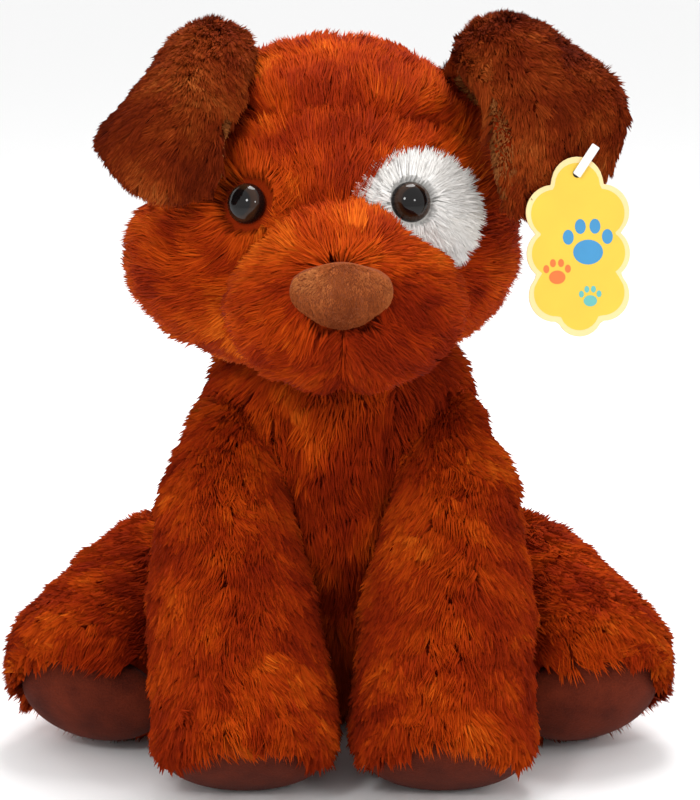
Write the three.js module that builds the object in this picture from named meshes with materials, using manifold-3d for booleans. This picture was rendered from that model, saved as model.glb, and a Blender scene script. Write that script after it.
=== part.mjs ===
// A seated plush dog: long-pile covers over stuffing, with a jointed neck, ears, legs and tail.
// Millimetres, +Z up. The dog looks along -Y, so its own left side is +X.
// The origin is the middle of the flat seat face under the torso.
import * as THREE from "three";
import { mergeVertices } from "three/addons/utils/BufferGeometryUtils.js";
import Module from "manifold-3d";

const wasm = await Module();
wasm.setup();

// Overall sizes. Every position and radius of the soft body below is written for the nominal dog
// and stretches with these three.
const WIDTH = 252; // across the hind feet
const DEPTH = 205; // front paws to tail
const HEIGHT = 280; // floor to the top of the ears
const NOMINAL = new THREE.Vector3(252, 205, 280);

// A limb stays round, so its radii and the ball it turns on follow the smallest of the three stretches.
const LIMB_STRETCH = Math.min(WIDTH / NOMINAL.x, DEPTH / NOMINAL.y, HEIGHT / NOMINAL.z);
const NECK_BALL = 30 * LIMB_STRETCH; // stuffed neck that the head turns on
const SHOULDER_BALL = 27 * LIMB_STRETCH;
const HIP_BALL = 36 * LIMB_STRETCH;
const TAIL_BALL = 13 * LIMB_STRETCH;

// Made sizes, which don't stretch.
const COVER_WALL = 6; // backing cloth plus the pile lying on it
const GAP = 0.35; // between pieces that touch
const SOCKET_GAP = 2; // round a ball that turns in its socket
const SWEEP_GAP = 2.5; // round the space a coarse moving form passes through
const SEAM_HOLE = 0.45; // radius of a limb cover's open end, as a part of its ball's radius
const EYE_RADIUS = 7.5;
const EYE_HEIGHT = 6;
const EYE_POST_RADIUS = 2.2;
const EYE_POST_LENGTH = 17;
const WASHER_RADIUS = 9;
const WASHER_THICKNESS = 2;
const SOLE_THICKNESS = 3;
const MIN_RADIUS = 0.5; // thinnest that the hollow of a limb gets
const EAR_PLUSH = 6; // outer panel of an ear
const EAR_LINING = 2.5;
const TAG_WIDTH = 38;
const TAG_LENGTH = 64;
const TAG_THICKNESS = 0.8;
const TAG_HOLE = 2;
const FASTENER_RADIUS = 0.7;

// Joint ranges in degrees, as the pieces are shaped to clear each other.
const NOD = [-12, 10];
const SHOULDER_SWING = [0, 30];
const HIP_LIFT = [0, 20];
const EAR_LIFT = [0, 50];
const TAIL_WAG = [-25, 25];

// A point or a set of radii of the nominal dog, stretched to the overall sizes.
function at(x, y, z) {
  return new THREE.Vector3((x * WIDTH) / NOMINAL.x, (y * DEPTH) / NOMINAL.y, (z * HEIGHT) / NOMINAL.z);
}

// ---------------------------------------------------------------- solids

// A closed three.js geometry as a solid that can be joined and cut.
function solid(geometry) {
  const flat = geometry.index ? geometry.toNonIndexed() : geometry;
  const bare = new THREE.BufferGeometry().setAttribute("position", flat.getAttribute("position"));
  const merged = mergeVertices(bare, 1e-4);
  const corners = [];
  for (let i = 0; i < merged.index.count; i += 3) {
    const [a, b, c] = [0, 1, 2].map((k) => merged.index.getX(i + k));
    if (a !== b && b !== c && c !== a) corners.push(a, b, c);
  }
  const positions = new Float32Array(merged.attributes.position.array);
  return new wasm.Manifold(
    new wasm.Mesh({ numProp: 3, vertProperties: positions, triVerts: new Uint32Array(corners) }),
  );
}

// The largest single body of a solid: cuts can leave loose slivers.
function mainBody(shape) {
  const bodies = shape.decompose();
  return bodies.reduce((best, next) => (next.volume() > best.volume() ? next : best));
}

function join(shapes) {
  return shapes.reduce((whole, next) => whole.add(next));
}

function cut(shape, tools) {
  return tools.reduce((left, tool) => left.subtract(tool), shape);
}

function ellipsoid(centre, radii, grow = 0, facets = 14) {
  const geometry = new THREE.SphereGeometry(1, facets, Math.round(facets * 0.67));
  geometry.rotateX(Math.PI / 2);
  geometry.scale(radii.x + grow, radii.y + grow, radii.z + grow);
  geometry.translate(centre.x, centre.y, centre.z);
  return solid(geometry);
}

// The cover of a form: `form(grow)` gives the solid with its skin moved outward by `grow`.
function wallOf(form) {
  return form(0).subtract(form(-COVER_WALL));
}

function ball(centre, radius, facets = 14) {
  return ellipsoid(centre, new THREE.Vector3(radius, radius, radius), 0, facets);
}

// Turns and moves a geometry made along +Z so that it runs from `start` along `direction`.
function aim(geometry, start, direction) {
  const up = new THREE.Vector3(0, 0, 1);
  const turn = new THREE.Quaternion().setFromUnitVectors(up, direction.clone().normalize());
  geometry.applyQuaternion(turn);
  geometry.translate(start.x, start.y, start.z);
  return geometry;
}

function cylinder(start, direction, radius, length, facets = 14) {
  const geometry = new THREE.CylinderGeometry(radius, radius, length, facets);
  geometry.rotateX(Math.PI / 2);
  geometry.translate(0, 0, length / 2);
  return solid(aim(geometry, start, direction));
}

// A turned solid: `profile` lists [radius, distance along the axis], both ends on the axis.
function turned(profile, start, direction, facets = 14) {
  const points = profile.map(([radius, along]) => new THREE.Vector2(radius, along));
  const geometry = new THREE.LatheGeometry(points, facets);
  geometry.rotateX(Math.PI / 2);
  return solid(aim(geometry, start, direction));
}

// The space a moving solid passes through, for cutting its room out of a neighbour.
function swept(shape, pivot, axis, range, steps) {
  const places = [];
  const hinge = axis.clone().normalize();
  for (let i = 0; i <= steps; i += 1) {
    const angle = THREE.MathUtils.degToRad(range[0] + ((range[1] - range[0]) * i) / steps);
    const matrix = new THREE.Matrix4()
      .makeTranslation(pivot.x, pivot.y, pivot.z)
      .multiply(new THREE.Matrix4().makeRotationAxis(hinge, angle))
      .multiply(new THREE.Matrix4().makeTranslation(-pivot.x, -pivot.y, -pivot.z));
    places.push(shape.transform(matrix.elements));
  }
  return join(places);
}

// A curved sheet with a rounded outline. `controls` is a 3 x 3 net: rows run from the top edge to the
// bottom, columns from the inner edge to the outer. The sheet fills the depths from `near` to `far`,
// measured along its normal, which points forward.
function curvedSheet(controls, near, far, cells = 6) {
  const weights = (t) => [(1 - t) * (1 - t), 2 * t * (1 - t), t * t];
  const middle = (u, v) => {
    const point = new THREE.Vector3();
    weights(v).forEach((wv, row) =>
      weights(u).forEach((wu, column) => point.addScaledVector(controls[row][column], wu * wv)),
    );
    return point;
  };
  const rounded = (u, v) => {
    const [a, b] = [2 * u - 1, 2 * v - 1];
    return [0.5 + 0.5 * a * Math.sqrt(1 - 0.4 * b * b), 0.5 + 0.5 * b * Math.sqrt(1 - 0.4 * a * a)];
  };
  const surface = (depth) => (u, v, target) => {
    const [ru, rv] = rounded(u, v);
    const step = 0.01;
    const along = middle(ru + step, rv).sub(middle(ru - step, rv));
    const down = middle(ru, rv + step).sub(middle(ru, rv - step));
    const normal = along.cross(down).normalize();
    if (normal.y > 0) normal.negate();
    target.copy(middle(ru, rv)).addScaledVector(normal, depth);
  };
  const point = new THREE.Vector3();
  const layers = [near, far].map((depth) => {
    const layer = [];
    for (let j = 0; j <= cells; j += 1)
      for (let i = 0; i <= cells; i += 1) {
        surface(depth)(i / cells, j / cells, point);
        layer.push(point.clone());
      }
    return layer;
  });
  const index = (layer, i, j) => layer * (cells + 1) ** 2 + j * (cells + 1) + i;
  const faces = [];
  const quad = (a, b, c, d) => faces.push(a, b, c, a, c, d);
  for (let j = 0; j < cells; j += 1)
    for (let i = 0; i < cells; i += 1) {
      quad(index(0, i, j), index(0, i, j + 1), index(0, i + 1, j + 1), index(0, i + 1, j));
      quad(index(1, i, j), index(1, i + 1, j), index(1, i + 1, j + 1), index(1, i, j + 1));
    }
  for (let k = 0; k < cells; k += 1) {
    quad(index(0, k, 0), index(0, k + 1, 0), index(1, k + 1, 0), index(1, k, 0));
    quad(index(0, k + 1, cells), index(0, k, cells), index(1, k, cells), index(1, k + 1, cells));
    quad(index(0, 0, k + 1), index(0, 0, k), index(1, 0, k), index(1, 0, k + 1));
    quad(index(0, cells, k), index(0, cells, k + 1), index(1, cells, k + 1), index(1, cells, k));
  }
  const geometry = new THREE.BufferGeometry().setFromPoints([...layers[0], ...layers[1]]);
  geometry.setIndex(faces);
  const across = controls[1][2].x - controls[1][0].x;
  if (across > 0) geometry.index.array.reverse();
  return solid(geometry);
}

// ---------------------------------------------------------------- materials and nodes

const dog = new THREE.Group();

function colour(hex, roughness, metalness = 0) {
  return () => new THREE.MeshStandardMaterial({ color: hex, roughness, metalness });
}

const orangePlush = colour(0xa8501c, 0.95);
const earPlush = colour(0x86401a, 0.95);
const liningVelvet = colour(0xa86838, 0.9);
const whitePlush = colour(0xe8e2da, 0.95);
const noseVelvet = colour(0x9a6552, 0.85);
const soleSuede = colour(0x4a2018, 0.85);
const stuffingFibre = colour(0xf2f0ea, 1);
const pelletCloth = colour(0xd8d4c8, 0.9);
const eyePlastic = colour(0x120a06, 0.12);
const washerPlastic = colour(0xe6e6e2, 0.5);
const tagCard = colour(0xe8c84a, 0.5);
const fastenerPlastic = colour(0xf4f4f0, 0.4);
const labelSatin = colour(0xf4f2ee, 0.6);

function addNode(name, shape, material) {
  const mesh = mainBody(shape).getMesh();
  const geometry = new THREE.BufferGeometry();
  geometry.setAttribute("position", new THREE.BufferAttribute(new Float32Array(mesh.vertProperties), 3));
  geometry.setIndex([...mesh.triVerts]);
  geometry.computeVertexNormals();
  const node = new THREE.Mesh(geometry, material());
  node.name = name;
  dog.add(node);
}

// ---------------------------------------------------------------- limbs

// A stuffed limb: a round end about its pivot, then radii at distances along its axis, ending flat
// where its sole is sewn on. `grow` moves the whole skin outward.
function limbProfile(limb, grow, endAlong) {
  const profile = [[0, -limb.ball - grow]];
  const arcSteps = 5;
  for (let i = 1; i <= arcSteps; i += 1) {
    const angle = (Math.PI / 2) * (i / arcSteps);
    profile.push([(limb.ball + grow) * Math.sin(angle), -(limb.ball + grow) * Math.cos(angle)]);
  }
  const fits = ([along, radius]) => along * limb.length < endAlong - 0.5 && radius + grow > MIN_RADIUS;
  const stations = limb.stations.filter(fits);
  for (const [along, radius] of stations) profile.push([radius + grow, along * limb.length]);
  const endRadius = Math.max(limb.stations.at(-1)[1] + grow, MIN_RADIUS);
  profile.push([endRadius, endAlong], [0, endAlong]);
  return profile;
}

function limbSolid(limb, grow = 0, endAlong = limb.length) {
  return turned(limbProfile(limb, grow, endAlong), limb.pivot, limb.direction);
}

// The room a limb needs in the torso: a socket for its ball, and the space its shaft sweeps.
function limbRoom(limb, axis, range, steps) {
  const widest = Math.max(...limb.stations.map(([, radius]) => radius)) + SWEEP_GAP;
  const end = limb.length + 1;
  const profile = [[0, 0], [limb.ball + SOCKET_GAP, 0], [widest, 0.6 * limb.length], [widest, end], [0, end]];
  const sweep = swept(turned(profile, limb.pivot, limb.direction, 12), limb.pivot, axis, range, steps);
  return ball(limb.pivot, limb.ball + SOCKET_GAP).add(sweep);
}

// The pieces of a limb: cover open at both ends, stuffing, and the sole when it has one.
function limbPieces(limb) {
  const coverEnd = limb.hasSole ? limb.length - SOLE_THICKNESS - GAP : limb.length;
  const opening = cylinder(limb.pivot, limb.seamDirection, SEAM_HOLE * limb.ball, limb.ball * 1.5);
  const hollowEnd = limb.hasSole ? limb.length + 5 : limb.length - COVER_WALL;
  const hollow = limbSolid(limb, -COVER_WALL, hollowEnd);
  const cover = cut(limbSolid(limb, 0, coverEnd), [hollow, opening]);
  const stuffingEnd = limb.hasSole ? coverEnd : limb.length - COVER_WALL - GAP;
  const stuffing = limbSolid(limb, -COVER_WALL - GAP, stuffingEnd);
  if (!limb.hasSole) return { cover, stuffing };
  const soleRadius = limb.stations.at(-1)[1] - 1;
  const soleStart = limb.pivot.clone().addScaledVector(limb.direction, limb.length - SOLE_THICKNESS);
  const soleProfile = [
    [0, 0],
    [soleRadius, 0],
    [soleRadius, SOLE_THICKNESS * 0.4],
    [soleRadius * 0.8, SOLE_THICKNESS * 0.85],
    [0, SOLE_THICKNESS],
  ];
  const sole = turned(soleProfile, soleStart, limb.direction);
  return { cover, stuffing, sole };
}

function limb(pivot, end, ballRadius, shape, hasSole, seamDirection) {
  const direction = end.clone().sub(pivot);
  const length = direction.length();
  direction.normalize();
  const stations = shape.map(([along, radius]) => [along, radius * LIMB_STRETCH]);
  return { pivot, direction, length, ball: ballRadius, stations, hasSole, seamDirection };
}

// side: +1 for the dog's left, -1 for its right.
const frontLeg = (side) =>
  limb(
    at(side * 39, -34, 112),
    at(side * 36 + 2, -86, 16),
    SHOULDER_BALL,
    [[0.3, 29], [0.55, 32], [0.8, 34], [0.93, 33], [0.975, 31]],
    true,
    new THREE.Vector3(-side, 0.8, 0),
  );
const hindLeg = (side) =>
  limb(
    at(side * 68, 14, 44),
    at(side * 96, -36, 33),
    HIP_BALL,
    [[0.4, 35], [0.7, 32], [0.92, 32], [0.96, 30]],
    true,
    new THREE.Vector3(-side, 0.2, 0),
  );
const tail = limb(
  at(0, 74, 34),
  at(20, 116, 40),
  TAIL_BALL,
  [[0.4, 13], [0.75, 11], [0.95, 7]],
  false,
  new THREE.Vector3(0, -1, 0),
);

const sides = [
  { name: "left", side: 1 },
  { name: "right", side: -1 },
];

const hinges = {
  nod: new THREE.Vector3(1, 0, 0),
  shoulder: new THREE.Vector3(-1, 0, 0),
  tail: new THREE.Vector3(0, 0, 1),
};
// A horizontal axis square to a hind leg, so that a positive turn lifts the foot.
const hipAxis = (leg) => new THREE.Vector3(leg.direction.y, -leg.direction.x, 0).normalize();

// ---------------------------------------------------------------- head and torso forms

const neck = at(0, 4, 146);

const cheekForm = (grow, facets) => ellipsoid(at(-2, -22, 191), at(80, 58, 43), grow, facets);
const crownForm = (grow, facets) => ellipsoid(at(-2, -12, 214), at(63, 59, 60), grow, facets);

function headForm(grow) {
  return cheekForm(grow, 16).add(crownForm(grow, 16));
}

const muzzleCentre = at(2, -78, 183);
const muzzleRadii = at(43, 38, 32);
const muzzleForm = (grow, facets = 14) => ellipsoid(muzzleCentre, muzzleRadii, grow, facets);

function torsoForm(grow) {
  const belly = ellipsoid(at(0, 20, 51), at(68, 60, 58), grow);
  const chest = ellipsoid(at(0, 6, 106), at(56, 48, 50), grow);
  const seatCut = new THREE.BoxGeometry(400, 400, 100);
  seatCut.translate(0, 0, -50 - grow);
  return belly.add(chest).subtract(solid(seatCut));
}

// ---------------------------------------------------------------- ears

// Control nets of the folded flaps, from the fold down to the tip, inner edge to outer edge.
const leftEarNet = [
  [at(48, -36, 268), at(72, -46, 292), at(104, -36, 268)],
  [at(52, -54, 240), at(78, -70, 244), at(120, -44, 242)],
  [at(56, -68, 214), at(74, -72, 198), at(100, -50, 212)],
];
const rightEarNet = [
  [at(-36, -36, 278), at(-56, -44, 292), at(-80, -36, 266)],
  [at(-36, -66, 250), at(-58, -74, 242), at(-100, -44, 250)],
  [at(-36, -78, 214), at(-62, -80, 209), at(-94, -50, 218)],
];
const earNets = { left: leftEarNet, right: rightEarNet };

// The fold: a level axis through the top of the flap, square to the way the flap faces.
const earAxis = (side) => new THREE.Vector3(-0.94, -0.34 * side, 0).normalize();
const earPivot = (net) => net[0][1].clone().add(at(0, 10, -8));

// The standing root behind the fold, from the crown up to the flap.
function earRootNet(net, side) {
  const lift = net[0].map((corner) => corner.clone().add(at(-side * 3, 9, -4)));
  const inner = at(side * 36, -12, 240);
  const outer = at(side * 62, -12, 226);
  const base = [inner, inner.clone().add(outer).multiplyScalar(0.5), outer];
  const halfway = lift.map((corner, k) => corner.clone().add(base[k]).multiplyScalar(0.5).add(at(0, 6, 0)));
  return [lift, halfway, base];
}

// The card hangs clear of the flap, however thick its plush is.
const tagNormal = new THREE.Vector3(0.12, -0.97, 0.17).normalize();
const tagHoleCentre = at(86, -69, 229).addScaledVector(tagNormal, Math.max(EAR_PLUSH - 6, 0));

const ears = sides.map(({ name, side }) => {
  const net = earNets[name];
  const flap = curvedSheet(net, 0, EAR_PLUSH);
  const lining = curvedSheet(net, -EAR_LINING - GAP, -GAP);
  const rest = curvedSheet(net, -EAR_LINING - 3 * GAP, EAR_PLUSH + GAP);
  const root = curvedSheet(earRootNet(net, side), -4, 4, 4);
  const room = swept(rest, earPivot(net), earAxis(side), EAR_LIFT, 3);
  return { name, side, flap, lining, root, rest, room };
});
const earRest = ears.map((ear) => ear.rest);

// ---------------------------------------------------------------- eyes

// The point and outward direction of an eye on the head's skin.
const eyes = {
  left: { centre: at(26, -65, 218), facing: new THREE.Vector3(0.3, -0.93, 0.22).normalize() },
  right: { centre: at(-33, -62, 217), facing: new THREE.Vector3(-0.72, -0.66, 0.2).normalize() },
};

function eyeSolid(eye, grow = 0) {
  const profile = [[0, -EYE_POST_LENGTH - grow]];
  profile.push([EYE_POST_RADIUS + grow, -EYE_POST_LENGTH - grow], [EYE_POST_RADIUS + grow, -1 - grow]);
  profile.push([EYE_RADIUS + grow, -1 - grow], [EYE_RADIUS + grow, 0]);
  const arcSteps = 4;
  for (let i = 1; i <= arcSteps; i += 1) {
    const angle = (Math.PI / 2) * (i / arcSteps);
    profile.push([(EYE_RADIUS + grow) * Math.cos(angle), (EYE_HEIGHT + grow) * Math.sin(angle)]);
  }
  profile.at(-1)[0] = 0;
  return turned(profile, eye.centre, eye.facing, 14);
}

function washerSolid(eye, grow = 0, bore = EYE_POST_RADIUS + GAP) {
  const near = -COVER_WALL - 4.5;
  const start = eye.centre.clone().addScaledVector(eye.facing, near - WASHER_THICKNESS - grow);
  const disc = cylinder(start, eye.facing, WASHER_RADIUS + grow, WASHER_THICKNESS + 2 * grow);
  if (bore === 0) return disc;
  const hole = cylinder(start.clone().addScaledVector(eye.facing, -5), eye.facing, bore, 20);
  return disc.subtract(hole);
}

const eyeRoom = Object.values(eyes).map((eye) => eyeSolid(eye, GAP));
const washerRoom = Object.values(eyes).map((eye) => washerSolid(eye, GAP, 0));

// ---------------------------------------------------------------- head

const neckSocket = ball(neck, NECK_BALL + SOCKET_GAP);
const muzzleRoom = muzzleForm(GAP);
const patchCutter = (grow) => ellipsoid(at(28, -68, 217), at(25, 22, 23), grow, 12);

const headSkin = wallOf(headForm);
const headCuts = [neckSocket, ...earRest, ...eyeRoom, ...washerRoom];
addNode("head_cover", cut(headSkin, [...headCuts, patchCutter(GAP)]), orangePlush);
addNode("eye_patch", cut(headSkin.intersect(patchCutter(0)), [...headCuts, muzzleRoom]), whitePlush);
addNode("head_stuffing", cut(headForm(-COVER_WALL - GAP), headCuts), stuffingFibre);

const muzzleRest = headForm(GAP);
const noseForm = (grow) => ellipsoid(at(1, -107, 192), at(20, 14, 12.5), grow, 14);
const muzzleSkin = wallOf(muzzleForm);
addNode("muzzle_cover", cut(muzzleSkin, [muzzleRest, ...eyeRoom, noseForm(GAP)]), orangePlush);
addNode("muzzle_stuffing", cut(muzzleForm(-COVER_WALL - GAP), [muzzleRest, noseForm(GAP)]), stuffingFibre);
addNode("nose", cut(noseForm(0), [muzzleForm(-COVER_WALL + 1), muzzleRest]), noseVelvet);

for (const { name } of sides) {
  addNode(`eye_${name}`, eyeSolid(eyes[name]), eyePlastic);
  addNode(`eye_washer_${name}`, washerSolid(eyes[name]), washerPlastic);
}

for (const { name, flap, lining, root, room } of ears) {
  addNode(`ear_flap_${name}`, flap, earPlush);
  addNode(`ear_lining_${name}`, lining, liningVelvet);
  addNode(`ear_root_${name}`, cut(root, [headForm(GAP), room]), earPlush);
}

// ---------------------------------------------------------------- hang tag

// The tag hangs from its fastener in front of the dog's left ear: a scalloped card.
function tagShape() {
  const scallops = 8;
  const outline = new THREE.Shape();
  const steps = 40;
  for (let i = 0; i < steps; i += 1) {
    const angle = (2 * Math.PI * i) / steps;
    const scallop = 1 - 0.07 * Math.abs(Math.sin(scallops * 0.5 * angle));
    const x = (TAG_WIDTH / 2) * scallop * Math.sin(angle);
    const y = (TAG_LENGTH / 2) * scallop * Math.cos(angle) - TAG_LENGTH / 2 + 6;
    if (i === 0) outline.moveTo(x, y);
    else outline.lineTo(x, y);
  }
  const rim = [];
  for (let i = 0; i < 12; i += 1) {
    const angle = (2 * Math.PI * i) / 12;
    rim.push(new THREE.Vector2(-TAG_HOLE * Math.sin(angle), TAG_HOLE * Math.cos(angle)));
  }
  outline.holes.push(new THREE.Path(rim));
  return outline;
}

const tagFrame = new THREE.Matrix4().lookAt(tagNormal, new THREE.Vector3(), new THREE.Vector3(0, 0, 1));
tagFrame.setPosition(tagHoleCentre);

const tagGeometry = new THREE.ExtrudeGeometry(tagShape(), {
  depth: TAG_THICKNESS,
  bevelEnabled: false,
  curveSegments: 8,
});
tagGeometry.translate(0, 0, -TAG_THICKNESS / 2);
addNode("hang_tag", solid(tagGeometry).transform(tagFrame.elements), tagCard);

// A thin plastic pin through the card's hole, with a flat paddle in front of the card.
const pinGeometry = new THREE.CylinderGeometry(FASTENER_RADIUS, FASTENER_RADIUS, 40, 12);
pinGeometry.rotateX(Math.PI / 2);
pinGeometry.translate(0, 0, 2.5 - 20);
const paddleGeometry = new THREE.BoxGeometry(3, 14, 1.2);
paddleGeometry.translate(0, 4, 2.2);
paddleGeometry.rotateZ(THREE.MathUtils.degToRad(-35));
const pinAndPaddle = solid(pinGeometry).add(solid(paddleGeometry)).transform(tagFrame.elements);
const leftFlapRoom = curvedSheet(leftEarNet, -60, EAR_PLUSH + GAP);
addNode("tag_fastener", pinAndPaddle.subtract(leftFlapRoom), fastenerPlastic);

// ---------------------------------------------------------------- torso

const frontLegs = sides.map(({ name, side }) => ({ name, leg: frontLeg(side) }));
const hindLegs = sides.map(({ name, side }) => ({ name, leg: hindLeg(side) }));

const headRoom = swept(cheekForm(SWEEP_GAP, 12), neck, hinges.nod, NOD, 2);
const limbRooms = [
  ...frontLegs.map(({ leg }) => limbRoom(leg, hinges.shoulder, SHOULDER_SWING, 2)),
  ...hindLegs.map(({ leg }) => limbRoom(leg, hipAxis(leg), HIP_LIFT, 1)),
  limbRoom(tail, hinges.tail, TAIL_WAG, 2),
];
const movingRoom = [headRoom, ...limbRooms];

const neckBall = (grow) => ball(neck, NECK_BALL + grow);
const pelletForm = (grow) => ellipsoid(at(0, 22, 20), at(24, 28, 22), grow, 12);
const torsoWall = cut(wallOf(torsoForm), movingRoom).subtract(neckBall(-COVER_WALL));
const neckWall = wallOf(neckBall).subtract(cut(torsoForm(-COVER_WALL), movingRoom));
const neckOpening = cylinder(neck, new THREE.Vector3(0, 0, 1), SEAM_HOLE * NECK_BALL, NECK_BALL * 1.5);
addNode("torso_cover", torsoWall.add(neckWall).subtract(neckOpening), orangePlush);
const torsoFill = cut(torsoForm(-COVER_WALL - GAP), movingRoom).add(neckBall(-COVER_WALL - GAP));
addNode("pellet_bag", pelletForm(0).intersect(torsoForm(-COVER_WALL - GAP)), pelletCloth);
addNode("torso_stuffing", torsoFill.subtract(pelletForm(GAP)), stuffingFibre);

for (const { name, leg } of frontLegs) {
  const pieces = limbPieces(leg);
  addNode(`front_leg_cover_${name}`, pieces.cover, orangePlush);
  addNode(`front_leg_stuffing_${name}`, pieces.stuffing, stuffingFibre);
  addNode(`front_sole_${name}`, pieces.sole, soleSuede);
}
for (const { name, leg } of hindLegs) {
  const pieces = limbPieces(leg);
  addNode(`hind_leg_cover_${name}`, pieces.cover, orangePlush);
  addNode(`hind_leg_stuffing_${name}`, pieces.stuffing, stuffingFibre);
  addNode(`hind_sole_${name}`, pieces.sole, soleSuede);
}
const tailPieces = limbPieces(tail);
addNode("tail_cover", tailPieces.cover, orangePlush);
addNode("tail_stuffing", tailPieces.stuffing, stuffingFibre);

// A satin label sewn into the seam at the back of the seat, standing out from it.
const LABEL_ANGLE = 120; // round from the dog's left
const labelGeometry = new THREE.BoxGeometry(24, 0.8, 30);
labelGeometry.rotateZ(THREE.MathUtils.degToRad(LABEL_ANGLE));
const labelPlace = at(-35, 74, 30);
labelGeometry.translate(labelPlace.x, labelPlace.y, labelPlace.z);
addNode("care_label", cut(solid(labelGeometry), [torsoForm(GAP), ...limbRooms]), labelSatin);

export default dog;
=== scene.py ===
"""A seated plush dog: stuffed skins, a long combed pile, moulded eyes and a hang tag."""

from math import cos, pi, radians, sin

import bpy
import numpy as np
from mathutils import Matrix, Vector, kdtree, noise


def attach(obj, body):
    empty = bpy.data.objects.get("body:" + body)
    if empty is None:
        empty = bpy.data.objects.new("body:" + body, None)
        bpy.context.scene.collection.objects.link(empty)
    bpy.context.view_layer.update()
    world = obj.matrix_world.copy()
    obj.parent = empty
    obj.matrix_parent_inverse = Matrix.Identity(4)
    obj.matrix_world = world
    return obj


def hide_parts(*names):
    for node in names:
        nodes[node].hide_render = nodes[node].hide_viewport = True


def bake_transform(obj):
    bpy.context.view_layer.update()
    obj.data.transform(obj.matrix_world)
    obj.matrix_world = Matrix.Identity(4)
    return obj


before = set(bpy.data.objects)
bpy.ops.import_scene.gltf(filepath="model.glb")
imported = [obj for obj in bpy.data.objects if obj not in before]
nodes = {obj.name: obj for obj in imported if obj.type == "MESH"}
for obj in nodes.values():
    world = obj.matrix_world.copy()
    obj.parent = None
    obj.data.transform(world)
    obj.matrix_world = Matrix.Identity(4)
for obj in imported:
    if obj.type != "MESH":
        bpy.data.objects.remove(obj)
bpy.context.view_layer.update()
scene = bpy.context.scene

MM = 0.001
UP = Vector((0, 0, 1))


def at(x, y, z):
    """A point given in millimetres."""
    return Vector((x, y, z)) * MM


# ------------------------------------------------------------------ camera, floor and light

CAMERA_DISTANCE = 1.2
CAMERA_TILT = radians(12)  # how far the camera looks down
CAMERA_TARGET = at(4, 0, 130.6)
SENSOR = 36  # millimetres, along the picture's taller side
VIEW_HEIGHT = 0.312  # metres of the dog's plane that the picture shows from top to bottom


def add_camera():
    direction = Vector((0, -cos(CAMERA_TILT), sin(CAMERA_TILT)))
    bpy.ops.object.camera_add(location=CAMERA_TARGET + direction * CAMERA_DISTANCE)
    camera = bpy.context.object
    camera.name = "camera"
    camera.rotation_euler = direction.to_track_quat("Z", "Y").to_euler()
    camera.data.sensor_width = SENSOR
    camera.data.lens = SENSOR * CAMERA_DISTANCE / VIEW_HEIGHT
    camera.data.clip_start = 0.05
    scene.camera = camera


def add_area_light(name, place, target, size, watts):
    bpy.ops.object.light_add(type="AREA", location=place)
    light = bpy.context.object
    light.name = name
    light.data.shape = "DISK"
    light.data.size = size
    light.data.energy = watts
    light.rotation_euler = (Vector(place) - Vector(target)).to_track_quat("Z", "Y").to_euler()


def add_stage():
    bpy.ops.mesh.primitive_plane_add(size=60, location=(0, 0, 0))
    floor = bpy.context.object
    floor.name = "floor"
    paper = bpy.data.materials.new("floor_paper")
    paper.use_nodes = True
    shader = paper.node_tree.nodes["Principled BSDF"]
    shader.inputs["Base Color"].default_value = (0.93, 0.93, 0.93, 1)
    shader.inputs["Roughness"].default_value = 0.9
    floor.data.materials.append(paper)
    world = bpy.data.worlds.new("studio")
    world.use_nodes = True
    world.node_tree.nodes["Background"].inputs["Color"].default_value = (1, 1, 1, 1)
    world.node_tree.nodes["Background"].inputs["Strength"].default_value = 1.0
    scene.world = world
    scene.view_settings.view_transform = "Standard"
    middle = (0, 0, 0.14)  # of the dog
    add_area_light("key_light", (-0.35, -1.0, 0.75), middle, 0.22, 3)
    add_area_light("fill_light", (0.6, -1.0, 0.60), middle, 0.18, 1.5)
    add_area_light("top_light", (0.1, 0.3, 1.2), middle, 0.6, 9)


# ------------------------------------------------------------------ small tools


def only(obj):
    """Selects one object and makes it active."""
    bpy.ops.object.select_all(action="DESELECT")
    obj.select_set(True)
    bpy.context.view_layer.objects.active = obj


def join(objs, name):
    bpy.ops.object.select_all(action="DESELECT")
    for obj in objs:
        obj.select_set(True)
    bpy.context.view_layer.objects.active = objs[0]
    bpy.ops.object.join()
    joined = bpy.context.object
    joined.name = name
    return joined


def settle(obj):
    """Moves an object's place into its mesh."""
    only(obj)
    bpy.ops.object.transform_apply(location=True, rotation=True, scale=True)
    return obj


def apply_modifier(obj, kind, **settings):
    only(obj)
    bpy.ops.object.modifier_add(type=kind)
    modifier = obj.modifiers[-1]
    for key, value in settings.items():
        setattr(modifier, key, value)
    bpy.ops.object.modifier_apply(modifier=modifier.name)


def points_of(mesh):
    flat = np.empty(len(mesh.vertices) * 3, np.float32)
    mesh.vertices.foreach_get("co", flat)
    return flat.reshape(-1, 3).astype(float)


def normals_of(mesh):
    flat = np.empty(len(mesh.vertices) * 3, np.float32)
    mesh.vertices.foreach_get("normal", flat)
    return flat.reshape(-1, 3).astype(float)


def put_points(mesh, points):
    mesh.vertices.foreach_set("co", points.astype(np.float32).ravel())
    mesh.update()


def unit(vectors):
    lengths = np.linalg.norm(vectors, axis=-1, keepdims=True)
    return vectors / np.maximum(lengths, 1e-9)


def near_path(points, path):
    """The distance from each point to a line through the points of `path`."""
    best = np.full(len(points), 1e9)
    for start, end in zip(path[:-1], path[1:]):
        a, d = np.array(start), np.array(end) - np.array(start)
        t = np.clip(((points - a) @ d) / max(d @ d, 1e-12), 0, 1)
        best = np.minimum(best, np.linalg.norm(points - a - t[:, None] * d, axis=1))
    return best


def smooth_noise(points, scale, seed=0):
    """Soft noise about 0 at each point; `scale` is the size of its features."""
    offset = Vector((seed * 7.3, seed * 3.1, seed * 5.7))
    return np.array([noise.noise(Vector(p) / scale + offset) for p in points])


# ------------------------------------------------------------------ materials


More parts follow.
